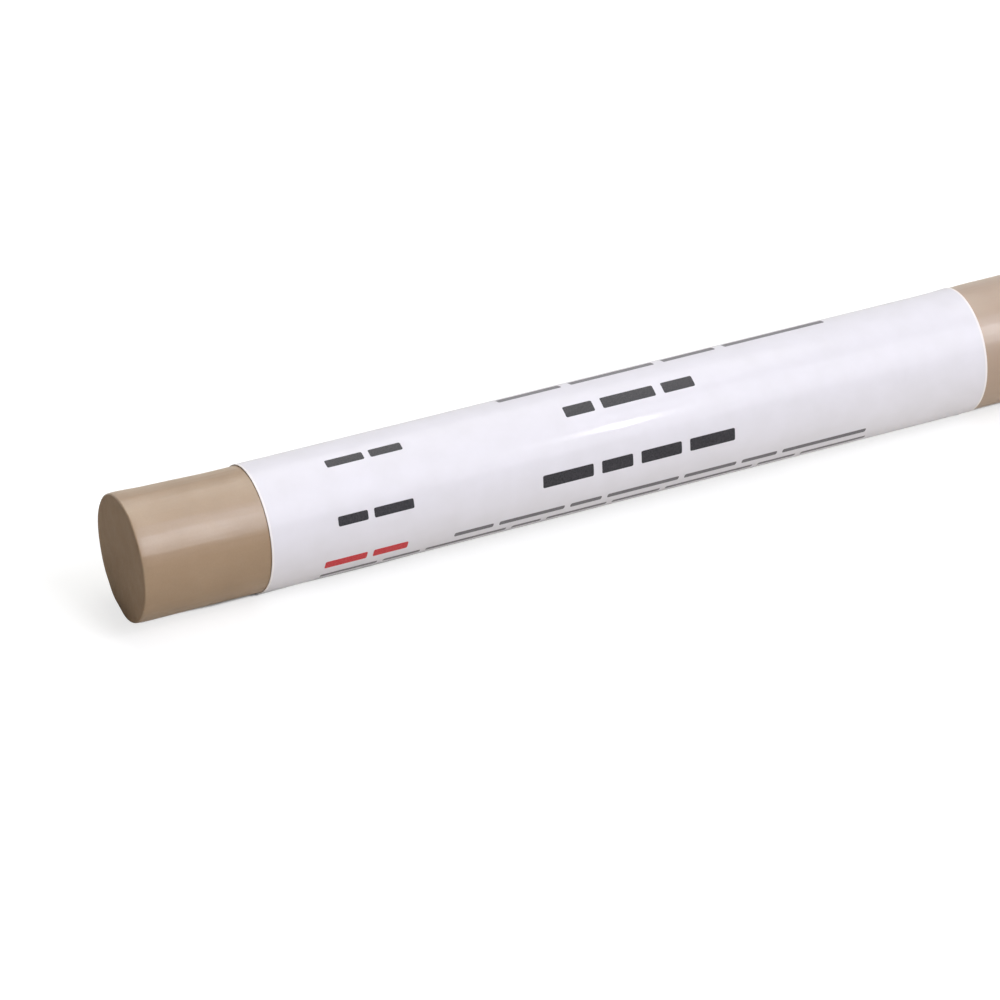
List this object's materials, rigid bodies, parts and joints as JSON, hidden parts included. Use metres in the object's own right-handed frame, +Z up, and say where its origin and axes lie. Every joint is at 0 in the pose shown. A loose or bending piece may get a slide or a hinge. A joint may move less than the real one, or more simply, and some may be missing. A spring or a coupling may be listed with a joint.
{
  "type": "furniture touch-up crayon",
  "caption": "Round stick of pigmented repair wax in a wrapped paper label, rubbed over scratches and chips in furniture to fill and colour them.",
  "frame": {"origin": "on the table top, under the middle of the stick as it lies on its label", "axes": "+X along the stick, +Z up, +Y towards the side on which the label laps over itself"},
  "size_m": [0.08, 0.0099, 0.0098],
  "materials": {
    "pigmented_wax": "satin",
    "label_adhesive": "gloss",
    "coated_paper": "satin"
  },
  "bodies": {
    "root": {"wax_stick": "pigmented_wax", "label_adhesive": "label_adhesive", "label_paper": "coated_paper"}
  },
  "joints": []
}
